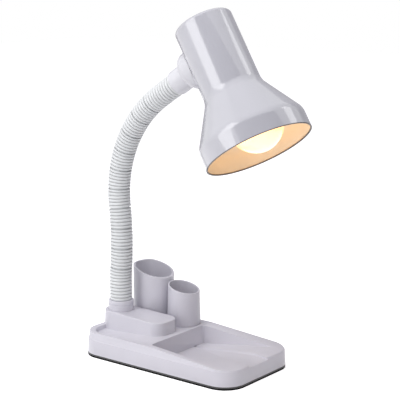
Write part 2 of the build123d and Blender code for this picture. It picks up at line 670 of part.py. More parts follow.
shade_way = hanging_way(HEAD_SWIVEL)
holder_way = hanging_way(HOLDER_SWIVEL)
shade_centre = neck_end.origin + neck_way * HEAD_REACH
holder_centre = shade_centre + neck_way * HOLDER_OFFSET
neck_axis = Axis(neck_end.origin, neck_way)
shade_axis = Axis(shade_centre, shade_way)
holder_axis = Axis(holder_centre, holder_way)
neck_section = section_plane(neck_end.origin, neck_way, neck_side)
shade_section = section_plane(shade_centre, shade_way, -neck_way)
holder_section = section_plane(holder_centre, holder_way, -neck_way)


def holder_plane(distance):
    """The plane square to the lampholder's axis, so far along it."""
    return Plane(origin=holder_centre + holder_way * distance, x_dir=neck_way, z_dir=holder_way)


with BuildPart() as upper_collar:
    with BuildSketch(neck_section):
        with BuildLine():
            Polyline(
                (CHAMBER_RADIUS, 0),
                (UPPER_COLLAR_RADIUS - UPPER_COLLAR_LEAD, 0),
                (UPPER_COLLAR_RADIUS, UPPER_COLLAR_LEAD),
                (UPPER_COLLAR_RADIUS, UPPER_COLLAR_LENGTH),
                (NIPPLE_HOLE, UPPER_COLLAR_LENGTH),
                (NIPPLE_HOLE, bush_length + FLANGE_THICKNESS + 2 * SWIVEL_GAP),
                (CHAMBER_RADIUS, bush_length + FLANGE_THICKNESS + 2 * SWIVEL_GAP),
                close=True,
            )
        make_face()
    revolve(axis=neck_axis)
upper_collar.part.label = "upper_collar"
export_step(upper_collar.part, "parts/upper_collar.step")

with BuildPart() as neck_bush:
    with BuildSketch(neck_end):
        Circle(CHAMBER_RADIUS - RUNNING_FIT)
        Circle(CORE_RADIUS + RUNNING_FIT, mode=Mode.SUBTRACT)
    extrude(amount=bush_length)
neck_bush.part.label = "neck_bush"
export_step(neck_bush.part, "parts/neck_bush.step")

nut_at = HEAD_REACH - BRACKET_REACH + BRACKET_THICKNESS
nipple_end = nut_at + SWIVEL_NUT_HEIGHT + RUNNING_FIT
with BuildPart() as swivel_nipple:
    with BuildSketch(neck_end.offset(bush_length + SWIVEL_GAP)):
        Circle(FLANGE_RADIUS)
    extrude(amount=FLANGE_THICKNESS)
    with BuildSketch(neck_end.offset(bush_length + SWIVEL_GAP)):
        Circle(NIPPLE_RADIUS)
    extrude(amount=nipple_end - bush_length - SWIVEL_GAP)
    with BuildSketch(neck_end):
        Circle(NIPPLE_BORE)
    extrude(amount=HEAD_REACH, mode=Mode.SUBTRACT)
swivel_nipple.part.label = "swivel_nipple"
export_step(swivel_nipple.part, "parts/swivel_nipple.step")

disc_foot = UPPER_COLLAR_LENGTH + SWIVEL_GAP
with BuildPart() as swivel_disc:
    with BuildSketch(neck_section):
        with BuildLine():
            Polyline(
                (UPPER_COLLAR_RADIUS, disc_foot),
                (NIPPLE_HOLE, disc_foot),
                (NIPPLE_HOLE, HEAD_REACH - CAP_RADIUS / 2),
                (DISC_RADIUS, HEAD_REACH - CAP_RADIUS / 2),
                (DISC_RADIUS, disc_foot + DISC_RISE),
            )
            ThreePointArc(
                (DISC_RADIUS, disc_foot + DISC_RISE),
                (DISC_CHEEK_RADIUS, disc_foot + DISC_CHEEK_RISE),
                (UPPER_COLLAR_RADIUS, disc_foot),
            )
        make_face()
    revolve(axis=neck_axis)
    with BuildSketch(neck_end.offset(disc_foot + DISC_RISE / 2)):
        Circle(DISC_HOLLOW_RADIUS)
        Circle(DISC_HUB_RADIUS, mode=Mode.SUBTRACT)
    extrude(amount=HEAD_REACH, mode=Mode.SUBTRACT)
    with BuildSketch(Plane(origin=shade_centre - shade_way * BEYOND / 2, z_dir=shade_way)):
        Circle(CAP_RADIUS + SADDLE_GAP)
    extrude(amount=BEYOND, mode=Mode.SUBTRACT)
swivel_disc.part.label = "swivel_disc"
export_step(swivel_disc.part, "parts/swivel_disc.step")

with BuildPart() as swivel_washer:
    with BuildSketch(neck_end.offset(HEAD_REACH - BRACKET_REACH - SWIVEL_WASHER)):
        Circle(BRACKET_HALF_WIDTH - CLEAR)
        Circle(NIPPLE_RADIUS + RUNNING_FIT, mode=Mode.SUBTRACT)
    extrude(amount=SWIVEL_WASHER)
swivel_washer.part.label = "swivel_washer"
export_step(swivel_washer.part, "parts/swivel_washer.step")

with BuildPart() as swivel_nut:
    with BuildSketch(neck_end.offset(nut_at)):
        RegularPolygon(NUT_ACROSS_FLATS / 2, 6, major_radius=False)
        Circle(NIPPLE_RADIUS + RUNNING_FIT, mode=Mode.SUBTRACT)
    extrude(amount=SWIVEL_NUT_HEIGHT)
swivel_nut.part.label = "swivel_nut"
export_step(swivel_nut.part, "parts/swivel_nut.step")

# ---------------------------------------------------------------- shade
half_flare = atan((SHADE_RADIUS - CAP_RADIUS) / (CONE_END - CONE_START)) / 2


def shade_body(inset, mouth):
    """The turned form of the shade, drawn in by the wall's thickness for its inside."""
    shift = inset * tan(half_flare)
    with BuildPart() as body:
        with BuildSketch(shade_section):
            with BuildLine():
                FilletPolyline(
                    (0, inset - CAP_TOP),
                    (CAP_CROWN, inset - CAP_TOP),
                    (CAP_RADIUS - inset, inset - CAP_EDGE),
                    (CAP_RADIUS - inset, CONE_START + shift),
                    (SHADE_RADIUS - inset, CONE_END + shift),
                    (SHADE_RADIUS - inset, mouth),
                    radius=(
                        CAP_CROWN_ROUND - inset,
                        CAP_ROUND - inset,
                        CONE_START_ROUND + inset,
                        CONE_END_ROUND - inset,
                    ),
                )
                Polyline((SHADE_RADIUS - inset, mouth), (0, mouth), (0, inset - CAP_TOP))
            make_face()
        revolve(axis=shade_axis)
    return body.part


shade_inside = shade_body(SHADE_WALL, SHADE_MOUTH + CLEAR)
with BuildPart() as shade_shell:
    add(shade_body(0, SHADE_MOUTH))
    add(shade_inside, mode=Mode.SUBTRACT)
    with BuildSketch(Plane(origin=shade_centre + shade_way * SHADE_MOUTH, z_dir=shade_way)):
        Circle(SHADE_RADIUS)
        Circle(SHADE_RADIUS - HEM_THICKNESS, mode=Mode.SUBTRACT)
    extrude(amount=-HEM_HEIGHT)
    fillet(faces().sort_by(shade_axis)[-1].edges(), RIM_ROUND)
    with BuildSketch(neck_end.offset(UPPER_COLLAR_LENGTH)):
        Circle(NIPPLE_RADIUS + FIT)
    extrude(amount=HEAD_REACH - UPPER_COLLAR_LENGTH, mode=Mode.SUBTRACT)
shade_shell.part.label = "shade_shell"
export_step(shade_shell.part, "parts/shade_shell.step")

# ---------------------------------------------------------------- lampholder and bulb
shelf = HOLDER_TOP - BRACKET_THICKNESS
leg_at = BRACKET_REACH + HOLDER_OFFSET
with BuildPart() as holder_bracket:
    with BuildSketch(holder_section):
        with BuildLine():
            Polyline(
                (leg_at, BRACKET_FOOT),
                (leg_at - BRACKET_THICKNESS, BRACKET_FOOT),
                (leg_at - BRACKET_THICKNESS, HOLDER_TOP),
                (-BRACKET_HALF_WIDTH, HOLDER_TOP),
                (-BRACKET_HALF_WIDTH, shelf),
                (leg_at, shelf),
                close=True,
            )
        make_face()
    extrude(amount=BRACKET_HALF_WIDTH, both=True)
    with BuildSketch(neck_end.offset(HEAD_REACH - CAP_RADIUS)):
        Circle(NIPPLE_RADIUS + RUNNING_FIT)
    extrude(amount=CAP_RADIUS / 2, mode=Mode.SUBTRACT)
    with BuildSketch(holder_plane(shelf - CLEAR)):
        Circle(NIPPLE_RADIUS + RUNNING_FIT)
    extrude(amount=BRACKET_THICKNESS + 2 * CLEAR, mode=Mode.SUBTRACT)
holder_bracket.part.label = "holder_bracket"
export_step(holder_bracket.part, "parts/holder_bracket.step")

with BuildPart() as holder_nipple:
    with BuildSketch(holder_plane(shelf - NUT_HEIGHT - CLEAR)):
        Circle(NIPPLE_RADIUS)
        Circle(NIPPLE_BORE, mode=Mode.SUBTRACT)
    extrude(amount=NUT_HEIGHT + BRACKET_THICKNESS + HOLDER_WALL + 2 * CLEAR)
holder_nipple.part.label = "holder_nipple"
export_step(holder_nipple.part, "parts/holder_nipple.step")

with BuildPart() as holder_nut:
    with BuildSketch(holder_plane(shelf - NUT_HEIGHT)):
        RegularPolygon(NUT_ACROSS_FLATS / 2, 6, major_radius=False)
        Circle(NIPPLE_RADIUS + RUNNING_FIT, mode=Mode.SUBTRACT)
    extrude(amount=NUT_HEIGHT)
holder_nut.part.label = "holder_nut"
export_step(holder_nut.part, "parts/holder_nut.step")

shoulder_at = HOLDER_TOP + HOLDER_RADIUS - HOLDER_SHOULDER
with BuildPart() as lampholder_cap:
    with BuildSketch(holder_section):
        with BuildLine():
            Polyline(
                (NIPPLE_RADIUS + RUNNING_FIT, HOLDER_TOP),
                (HOLDER_SHOULDER, HOLDER_TOP),
                (HOLDER_RADIUS, shoulder_at),
                (HOLDER_RADIUS, HOLDER_JOINT),
                (HOLDER_RADIUS - HOLDER_WALL, HOLDER_JOINT),
                (HOLDER_RADIUS - HOLDER_WALL, shoulder_at + HOLDER_WALL / 2),
                (HOLDER_SHOULDER - HOLDER_WALL / 2, HOLDER_TOP + HOLDER_WALL),
                (NIPPLE_RADIUS + RUNNING_FIT, HOLDER_TOP + HOLDER_WALL),
                close=True,
            )
        make_face()
    revolve(axis=holder_axis)
lampholder_cap.part.label = "lampholder_cap"
export_step(lampholder_cap.part, "parts/lampholder_cap.step")

with BuildPart() as lampholder_body:
    with BuildSketch(holder_section):
        with BuildLine():
            Polyline(
                (0, HOLDER_JOINT),
                (HOLDER_RADIUS, HOLDER_JOINT),
                (HOLDER_RADIUS, HOLDER_MOUTH - CLEAR),
                (HOLDER_RADIUS - CLEAR, HOLDER_MOUTH),
                (THREAD_RADIUS + HOLDER_WALL, HOLDER_MOUTH),
                (THREAD_RADIUS + HOLDER_WALL, HOLDER_JOINT + HOLDER_FLOOR),
                (0, HOLDER_JOINT + HOLDER_FLOOR),
                close=True,
            )
        make_face()
    revolve(axis=holder_axis)
lampholder_body.part.label = "lampholder_body"
export_step(lampholder_body.part, "parts/lampholder_body.step")

holder_floor = holder_plane(HOLDER_JOINT + HOLDER_FLOOR)
with BuildPart() as holder_thread:
    with BuildSketch(holder_floor):
        Circle(THREAD_RADIUS + HOLDER_WALL - RUNNING_FIT)
        Circle(THREAD_RADIUS + RUNNING_FIT, mode=Mode.SUBTRACT)
    extrude(amount=HOLDER_MOUTH - HOLDER_JOINT - HOLDER_FLOOR - 2 * CLEAR)
holder_thread.part.label = "holder_thread"
export_step(holder_thread.part, "parts/holder_thread.step")

with BuildPart() as holder_contact:
    with BuildSketch(holder_floor):
        Rectangle(CONTACT_WIDTH, CONTACT_WIDTH)
    extrude(amount=CONTACT_HEIGHT)
holder_contact.part.label = "holder_contact"
export_step(holder_contact.part, "parts/holder_contact.step")

contact_foot = HOLDER_JOINT + HOLDER_FLOOR + CONTACT_HEIGHT
cap_foot = contact_foot + 3 * CONTACT_HEIGHT / 2
cap_shoulder = THREAD_RADIUS - BULB_CAP_ROUND - BULB_CAP_WALL
with BuildPart() as bulb_contact:
    with BuildSketch(holder_floor.offset(CONTACT_HEIGHT)):
        Circle(CONTACT_WIDTH / 2)
    extrude(amount=CONTACT_HEIGHT / 2)
    with BuildSketch(holder_floor.offset(3 * CONTACT_HEIGHT / 2)):
        Circle(THREAD_RADIUS - BULB_CAP_ROUND)
    extrude(amount=CONTACT_HEIGHT)
bulb_contact.part.label = "bulb_contact"
export_step(bulb_contact.part, "parts/bulb_contact.step")

with BuildPart() as bulb_cap:
    with BuildSketch(holder_section):
        with BuildLine():
            Polyline(
                (cap_shoulder, cap_foot),
                (THREAD_RADIUS, cap_foot + BULB_CAP_ROUND),
                (THREAD_RADIUS, BULB_NECK),
                (THREAD_RADIUS - BULB_CAP_WALL, BULB_NECK),
                (THREAD_RADIUS - BULB_CAP_WALL, cap_foot + BULB_CAP_ROUND + BULB_CAP_WALL),
                (cap_shoulder - BULB_CAP_WALL, cap_foot + BULB_CAP_WALL),
                close=True,
            )
        make_face()
    revolve(axis=holder_axis)
bulb_cap.part.label = "bulb_cap"
export_step(bulb_cap.part, "parts/bulb_cap.step")


def bulb_body(inset):
    """The turned form of the bulb's glass: a narrow neck that swells into a globe."""
    waist = (BULB_RADIUS - inset) * sin(radians(45))
    with BuildPart() as body:
        with BuildSketch(holder_section):
            with BuildLine():
                Spline(
                    (THREAD_RADIUS - inset, BULB_NECK),
                    (waist, BULB_CENTRE - waist),
                    tangents=((0, 1), (1, 1)),
                )
                ThreePointArc(
                    (waist, BULB_CENTRE - waist),
                    (BULB_RADIUS - inset, BULB_CENTRE),
                    (0, BULB_CENTRE + BULB_RADIUS - inset),
                )
                Polyline(
                    (0, BULB_CENTRE + BULB_RADIUS - inset),
                    (0, BULB_NECK),
                    (THREAD_RADIUS - inset, BULB_NECK),
                )
            make_face()
        revolve(axis=holder_axis)
    return body.part


bulb_inside = bulb_body(BULB_GLASS)
with BuildPart() as bulb_globe:
    add(bulb_body(0))
    add(bulb_inside, mode=Mode.SUBTRACT)
bulb_globe.part.label = "bulb_globe"
export_step(bulb_globe.part, "parts/bulb_globe.step")
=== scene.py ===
from math import asin, atan2, cos, hypot, pi, radians, sin, sqrt, tan

import bmesh
import bpy
from bpy.props import FloatProperty, FloatVectorProperty, PointerProperty
from mathutils import Matrix, Vector
from mathutils.geometry import interpolate_bezier


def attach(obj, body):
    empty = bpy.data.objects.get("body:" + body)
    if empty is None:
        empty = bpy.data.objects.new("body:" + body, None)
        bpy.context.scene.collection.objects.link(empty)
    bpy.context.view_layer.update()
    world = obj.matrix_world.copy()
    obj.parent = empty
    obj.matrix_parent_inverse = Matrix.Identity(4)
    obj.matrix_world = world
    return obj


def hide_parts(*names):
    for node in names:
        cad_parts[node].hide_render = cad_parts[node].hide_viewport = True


bl_info = {
    "name": "Gooseneck Desk Lamp",
    "version": (1, 0, 0),
    "blender": (4, 5, 0),
    "location": "View3D > Sidebar > Desk Lamp",
    "description": "Dresses the frame of a gooseneck desk lamp on an organiser base",
    "category": "Object",
}

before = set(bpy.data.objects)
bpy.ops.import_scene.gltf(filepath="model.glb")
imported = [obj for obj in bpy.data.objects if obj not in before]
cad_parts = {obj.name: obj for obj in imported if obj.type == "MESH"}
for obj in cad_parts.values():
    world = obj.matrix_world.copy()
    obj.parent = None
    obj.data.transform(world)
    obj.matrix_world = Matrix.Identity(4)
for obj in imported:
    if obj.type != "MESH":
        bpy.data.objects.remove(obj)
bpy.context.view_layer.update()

# Points this close are welded, and a point this close to a place lies on it.
WELD = 1e-6
TOUCH = 2e-5
FLAT_ANGLE = radians(0.2)
SHARP_ANGLE = radians(25)
SMOOTH_ANGLE = radians(38)
# Nearly all of a noise texture's values lie between these.
NOISE_LOW = 0.3
NOISE_HIGH = 0.7
POLISH_SWING = 0.15
WHITE = (1.0, 1.0, 1.0)
RIGHT = Vector((1.0, 0.0, 0.0))
UP = Vector((0.0, 0.0, 1.0))

# The ribbed neck's centreline is a chain of (length in mm, turn in degrees) that starts
# at the lower collar and goes up.
NECK_RUNS = ((24.0, 0.0), (9.0, 5.3), (73.0, -11.5), (69.0, 30.4), (74.8, 32.66), (27.7, 0.0))
NECK_START = Vector((-0.00845, 0.0841, 0.0547))
RIB_PITCH = 0.0037
SEGMENT_RIBS = (10,) + (6,) * 9 + (11,)
NECK_LENGTH = sum(SEGMENT_RIBS) * RIB_PITCH
# A rib's flank is its foot at the root and then (distance in from the rib's end, depth
# under the crest). At a hinge the foot leaves half of a slot.
RIB_FOOT = 0.00015
RIB_FLANK = ((0.00048, 0.00055), (0.00085, 0.00012), (0.0013, 0.0))
SLOT_HALF = 0.00085
SLOT_FLANK = ((0.00093, 0.0005), (0.00112, 0.00012), (0.00145, 0.0))
DOME_STEPS = 6
# The shade's axis crosses the neck's line this far past the neck's end, and the bulb
# hangs on a line of its own, a little further out.
HEAD_REACH = 0.0599
HEAD_SWIVEL = radians(4.2)
HOLDER_OFFSET = 0.0053
HOLDER_SWIVEL = radians(1.5)
# The collars and the disc have a hole for a hollow nipple, and the upper collar a chamber
# for the nipple's flange.
NIPPLE_HOLE = 0.00508
FLANGE_CHAMBER = 0.0081
FLANGE_THICKNESS = 0.002
SWIVEL_GAP = 0.0003
SADDLE_GAP = 0.0002


# ---------------------------------------------------------------- settings
def length(name, description, default):
    return FloatProperty(
        name=name, description=description, default=default, min=0.0, unit="LENGTH"
    )


def colour(name, description, default):
    return FloatVectorProperty(
        name=name,
        description=description,
        default=default,
        min=0.0,
        max=1.0,
        size=3,
        subtype="COLOR",
    )


def brightness(name, description, default):
    return FloatProperty(name=name, description=description, default=default, min=0.0)


def power(name, description, default):
    return FloatProperty(
        name=name, description=description, default=default, min=0.0, subtype="POWER"
    )


class LampSizes(bpy.types.PropertyGroup):
    """The sizes of the pieces that are turned or drawn anew round the frame."""

    edge_round: length("Edge Round", "Small round on the moulded edges of the base", 0.0005)
    rib_crest: length("Rib Crest", "Radius of the neck over its ribs", 0.0123)
    rib_root: length("Rib Root", "Radius of the neck between its ribs", 0.0109)
    sleeve_bore: length("Sleeve Bore", "Radius of the hole through the neck's sleeves", 0.005)
    ball: length("Ball", "Radius of the ball at the top of a sleeve", 0.0099)
    socket: length("Socket", "Radius of the socket at the foot of a sleeve", 0.0102)
    lower_collar: length("Lower Collar", "Radius of the collar on the base", 0.0139)
    upper_collar: length("Upper Collar", "Radius of the collar at the neck's end", 0.0135)
    upper_collar_length: length("Upper Collar Length", "Length of that collar", 0.0187)
    disc: length("Swivel Disc", "Radius of the swivel disc's rim", 0.021)
    cap: length("Shade Cap", "Radius of the shade's narrow end", 0.0306)
    mouth: length("Shade Mouth", "Radius of the shade's open end", 0.0562)
    shade_wall: length("Shade Wall", "Thickness of the shade's sheet", 0.0009)
    hem: length("Shade Hem", "Thickness of the rolled hem at the shade's edge", 0.0016)
    bulb: length("Bulb", "Radius of the bulb's globe", 0.0285)


class LampColours(bpy.types.PropertyGroup):
    """The colours of the lamp's finishes."""

    shell: colour("Shell", "Moulded plastic of the base and the cups", (0.645, 0.634, 0.69))
    sleeve: colour("Sleeve", "Ribbed plastic sleeve of the neck", (0.765, 0.785, 0.79))
    swivel: colour("Swivel", "Plastic of the swivel disc and its collar", (0.72, 0.72, 0.755))
    # Painted shade: this grey darkens the grooves between the ribs, where shade falls.
    groove_shade: colour("Sleeve Dust", "Dust that settles between the ribs", (0.36, 0.35, 0.33))
    enamel: colour("Enamel", "Gloss enamel outside the shade", (0.49, 0.49, 0.535))
    # The lining is white enamel; its cream cast is partly painted warm light of the bulb.
    lining: colour("Lining", "Satin enamel inside the shade", (0.80, 0.77, 0.67))
    # Painted shade and painted reflection: the near-black rim stands for the hem's shadowed edge
    # and the dark surroundings it mirrors.
    rim: colour("Rim", "Thin enamel over the shade's edge", (0.10, 0.09, 0.095))
    pad: colour("Pad", "Foam rubber under the base", (0.005, 0.005, 0.006))
    plate: colour("Plate", "Black steel that closes the base", (0.006, 0.006, 0.007))
    opal: colour("Opal", "Opal glass of the bulb", (0.74, 0.75, 0.71))
    glow: colour("Glow", "Light of the bulb", (1.0, 0.505, 0.16))
    zinc: colour("Zinc", "Plated steel of the screws, nuts and nipples", (0.55, 0.56, 0.58))
    iron: colour("Iron", "Cast iron of the ballast", (0.09, 0.09, 0.095))
    rubber: colour("Rubber", "Rubber of the cord inlet", (0.016, 0.016, 0.017))
    nylon: colour("Nylon", "Nylon of the bush and the terminal block", (0.70, 0.69, 0.62))
    phenolic: colour("Phenolic", "Hard plastic of the lampholder", (0.62, 0.60, 0.55))
    brass: colour("Brass", "Brass of the lampholder's thread", (0.72, 0.50, 0.20))
    nickel: colour("Nickel", "Plated cap of the bulb", (0.62, 0.60, 0.56))


class StudioSettings(bpy.types.PropertyGroup):
    """The light and the camera of the stage."""

    ambient: colour("Ambient", "Light that comes from all round", (0.56, 0.55, 0.58))
    overhead: power("Overhead", "Power of the overhead light", 13.0)
    side: power("Side", "Power of the light on the left", 6.4)
    floor: brightness("Floor", "How brightly the floor shows", 0.62)
    card: brightness("Cards", "Strength of the cards that the gloss mirrors", 3.0)
    glow_strength: brightness("Bulb Strength", "Strength of the bulb's light", 1.75)
    lens: FloatProperty(
        name="Lens", description="Focal length of the camera", default=108.0, unit="CAMERA"
    )


def sizes():
    return bpy.context.scene.desk_lamp_sizes


def colours():
    return bpy.context.scene.desk_lamp_colours


def studio():
    return bpy.context.scene.desk_lamp_studio


# ---------------------------------------------------------------- finishes
def scaled(tone, share):
    return tuple(min(1.0, part * share) for part in tone) + (1.0,)


def new_node(material, kind, **values):
    node = material.node_tree.nodes.new(kind)
    for name, value in values.items():
        node.inputs[name.replace("_", " ")].default_value = value
    return node


def finish(
    name,
    tone,
    roughness,
    patch=0.03,
    mottle=0.02,
    grain=0.0008,
    depth=0.00002,
    stretch=(1, 1, 1),
    **shader_values,
):
    """A finish with slow patches of tone, a fine grain in relief and an uneven polish.

    The patches and the grain have these sizes in metres, mottle is the share by which the
    tone varies, and depth is the height of the relief.
    """
    material = bpy.data.materials.get(name)
    if material:
        return material
    material = bpy.data.materials.new(name)
    material.use_nodes = True
    links = material.node_tree.links
    shader = material.node_tree.nodes["Principled BSDF"]
    for socket, value in shader_values.items():
        shader.inputs[socket.replace("_", " ")].default_value = value
    place = material.node_tree.nodes.new("ShaderNodeTexCoord")
    turn = new_node(material, "ShaderNodeMapping", Scale=stretch)
    slow = new_node(material, "ShaderNodeTexNoise", Scale=1.0 / patch, Detail=3.0)
    fine = new_node(material, "ShaderNodeTexNoise", Scale=1.0 / grain, Detail=2.0)
    tones = material.node_tree.nodes.new("ShaderNodeValToRGB")
    tones.color_ramp.elements[0].position = NOISE_LOW
    tones.color_ramp.elements[1].position = NOISE_HIGH
    tones.color_ramp.elements[0].color = scaled(tone, 1.0 - mottle)
    tones.color_ramp.elements[1].color = scaled(tone, 1.0 + mottle)
    polish = new_node(
        material,
        "ShaderNodeMapRange",
        From_Min=NOISE_LOW,
        From_Max=NOISE_HIGH,
        To_Min=roughness * (1 - POLISH_SWING),
        To_Max=roughness * (1 + POLISH_SWING),
    )
    relief = new_node(material, "ShaderNodeBump", Strength=1.0, Distance=depth)
    links.new(place.outputs["Object"], turn.inputs["Vector"])
    links.new(turn.outputs["Vector"], slow.inputs["Vector"])
    links.new(turn.outputs["Vector"], fine.inputs["Vector"])
    links.new(slow.outputs["Fac"], tones.inputs["Fac"])
    links.new(tones.outputs["Color"], shader.inputs["Base Color"])
    links.new(fine.outputs["Fac"], polish.inputs["Value"])
    links.new(polish.outputs["Result"], shader.inputs["Roughness"])
    links.new(fine.outputs["Fac"], relief.inputs["Height"])
    links.new(relief.outputs["Normal"], shader.inputs["Normal"])
    return material


def shell_plastic():
    return finish("white_shell_plastic", colours().shell, 0.36, grain=0.0006, depth=0.000012)


def sleeve_plastic():
    """White plastic whose grooves are darkened with painted shade, by the rib_depth attribute."""
    known = bpy.data.materials.get("white_sleeve_plastic")
    if known:
        return known
    material = finish("white_sleeve_plastic", colours().sleeve, 0.34, grain=0.0006, depth=0.00001)
    nodes = material.node_tree.nodes
    links = material.node_tree.links
    shader = nodes["Principled BSDF"]
    unshaded = shader.inputs["Base Color"].links[0].from_socket
    depth = nodes.new("ShaderNodeAttribute")
    depth.attribute_name = "rib_depth"
    # The painted shade in the grooves is broken up by noise, between these shares.
    speckles_per_metre, faintest_shade, deepest_shade = 260.0, 0.25, 0.6
    speckle = new_node(material, "ShaderNodeTexNoise", Scale=speckles_per_metre, Detail=3.0)
    share = nodes.new("ShaderNodeMath")
    share.operation = "MULTIPLY"
    spread = new_node(
        material,
        "ShaderNodeMapRange",
        From_Min=NOISE_LOW,
        From_Max=NOISE_HIGH,
        To_Min=faintest_shade,
        To_Max=deepest_shade,
    )
    mix = nodes.new("ShaderNodeMix")
    mix.data_type = "RGBA"
    mix.inputs["B"].default_value = scaled(colours().groove_shade, 1.0)
    place = next(node for node in nodes if node.type == "TEX_COORD")
    links.new(place.outputs["Object"], speckle.inputs["Vector"])
    links.new(speckle.outputs["Fac"], spread.inputs["Value"])
    links.new(spread.outputs["Result"], share.inputs[0])
    links.new(depth.outputs["Fac"], share.inputs[1])
    links.new(share.outputs["Value"], mix.inputs["Factor"])
    links.new(unshaded, mix.inputs["A"])
    links.new(mix.outputs["Result"], shader.inputs["Base Color"])
    return material


def swivel_plastic():
    return finish("white_swivel_plastic", colours().swivel, 0.32, grain=0.0006, depth=0.00001)


def gloss_enamel():
    return finish(
        "gloss_enamel",
        colours().enamel,
        0.22,
        patch=0.05,
        mottle=0.012,
        grain=0.004,
        depth=0.000008,
        Coat_Weight=1.0,
        Coat_Roughness=0.05,
        Coat_IOR=1.7,
    )


def satin_lining():
    return finish("satin_lining", colours().lining, 0.5, patch=0.02, mottle=0.025, grain=0.001)


# The shade's hem in painted shade and painted reflection.
def rim_painted_shade():
    tone = colours().rim
    return finish("rim_painted_shade", tone, 0.45, patch=0.01, mottle=0.12, grain=0.0005, depth=0.00003)


def foam_rubber():
    return finish(
        "foam_rubber",
        colours().pad,
        0.85,
        patch=0.01,
        mottle=0.2,
        grain=0.0005,
        depth=0.00008,
        Specular_IOR_Level=0.0,
    )


def black_steel():
    return finish(
        "black_steel",
        colours().plate,
        0.6,
        patch=0.02,
        mottle=0.15,
        grain=0.0006,
        depth=0.00003,
        Specular_IOR_Level=0.0,
    )


def zinc_steel():
    return finish(
        "zinc_steel",
        colours().zinc,
        0.32,
        patch=0.004,
        mottle=0.08,
        grain=0.0005,
        stretch=(1, 1, 6),
        Metallic=1.0,
    )


def cast_iron():
    tone = colours().iron
    return finish("cast_iron", tone, 0.7, patch=0.01, mottle=0.2, grain=0.001, depth=0.00015)


def black_rubber():
    tone = colours().rubber
    return finish("black_rubber", tone, 0.6, patch=0.006, mottle=0.15, grain=0.0005)


def nylon():
    tone = colours().nylon
    return finish("natural_nylon", tone, 0.4, patch=0.006, mottle=0.04, grain=0.0005, depth=0.00001)


def phenolic():
    tone = colours().phenolic
    return finish("white_phenolic", tone, 0.3, patch=0.01, mottle=0.04, grain=0.0006, depth=0.00001)


def brass():
    tone = colours().brass
    return finish("turned_brass", tone, 0.25, patch=0.004, mottle=0.1, grain=0.0004, Metallic=1.0)


def cap_metal():
    tone = colours().nickel
    return finish("nickel_cap", tone, 0.28, patch=0.004, mottle=0.08, grain=0.0004, Metallic=1.0)


def opal_glass():
    """Opal glass that glows through a faint cloud."""
    known = bpy.data.materials.get("opal_glass")
    if known:
        return known
    material = finish(
        "opal_glass",
        colours().opal,
        0.18,
        patch=0.015,
        mottle=0.01,
        grain=0.002,
        depth=0.000004,
        Coat_Weight=1.0,
        Coat_Roughness=0.03,
        Emission_Strength=studio().glow_strength,
    )
    nodes = material.node_tree.nodes
    links = material.node_tree.links
    shader = nodes["Principled BSDF"]
    place = next(node for node in nodes if node.type == "TEX_COORD")
    clouds_per_metre, dimmest = 30.0, 0.94
    cloud = new_node(material, "ShaderNodeTexNoise", Scale=clouds_per_metre, Detail=2.0)
    glow = nodes.new("ShaderNodeValToRGB")
    glow.color_ramp.elements[0].color = scaled(colours().glow, dimmest)
    glow.color_ramp.elements[1].color = scaled(colours().glow, 1.0)
    links.new(place.outputs["Object"], cloud.inputs["Vector"])
    links.new(cloud.outputs["Fac"], glow.inputs["Fac"])
    links.new(glow.outputs["Color"], shader.inputs["Emission Color"])
    return material


# ---------------------------------------------------------------- making pieces
def add_piece(name, bm, body, materials, replaced):
    """Turns a bmesh into a smooth-shaded piece that rides on its body."""
    mesh = bpy.data.meshes.new(name)
    bm.to_mesh(mesh)
    bm.free()
    for material in materials:
        mesh.materials.append(material)
    piece = bpy.data.objects.new(name, mesh)
    bpy.context.scene.collection.objects.link(piece)
    mesh.shade_smooth()
    mesh.set_sharp_from_angle(angle=SMOOTH_ANGLE)
    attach(piece, body)
    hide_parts(*replaced)
    return piece


def placed(origin, along, side):
    """The matrix that takes a piece turned about Z to its place along an axis."""
    return Matrix(
        (
            (side.x, along.cross(side).x, along.x, origin.x),
            (side.y, along.cross(side).y, along.y, origin.y),
            (side.z, along.cross(side).z, along.z, origin.z),
            (0.0, 0.0, 0.0, 1.0),
        )
    )


def neck_station(distance):
    """The place on the neck's centreline so far from the collar, Z along the neck."""
    y = NECK_START.y
    z = NECK_START.z
    heading = radians(90)
    left = distance
    for run_length, run_turn in NECK_RUNS:
        run = run_length / 1000
        step = min(left, run)
        turn = radians(run_turn) * step / run
        chord = step * sin(turn / 2) / (turn / 2) if turn else step
        y += chord * cos(heading + turn / 2)
        z += chord * sin(heading + turn / 2)
        heading += turn
        left -= step
    y += left * cos(heading)
    z += left * sin(heading)
    along = Vector((0.0, cos(heading), sin(heading)))
    return placed(Vector((NECK_START.x, y, z)), along, RIGHT)


def hanging_station(reach, swivel):
    """The place so far past the neck's end, Z down and turned about the neck."""
    end = neck_station(NECK_LENGTH)
    neck_way = end.col[2].to_3d()
    along = neck_way.cross(RIGHT) * -cos(swivel) - RIGHT * sin(swivel)
    return placed(end.translation + neck_way * reach, along, -neck_way)


def spun(bm, steps):
    """Spins the profile in the XZ plane a full turn about Z and closes its poles."""
    bmesh.ops.spin(
        bm,
        geom=bm.verts[:] + bm.edges[:],
        cent=(0.0, 0.0, 0.0),
        axis=(0.0, 0.0, 1.0),
        angle=2 * pi,
        steps=steps,
        use_merge=True,
    )
    bmesh.ops.remove_doubles(bm, verts=bm.verts, dist=WELD)
    bmesh.ops.recalc_face_normals(bm, faces=bm.faces)


def drawn(points, closed=True):
    """A bmesh with one line through (radius, height) points, back to the first if closed."""
    bm = bmesh.new()
    corners = [bm.verts.new((radius, 0.0, height)) for radius, height in points]
    for first, second in zip(corners, corners[1:]):
        bm.edges.new((first, second))
    if closed:
        bm.edges.new((corners[-1], corners[0]))
    return bm


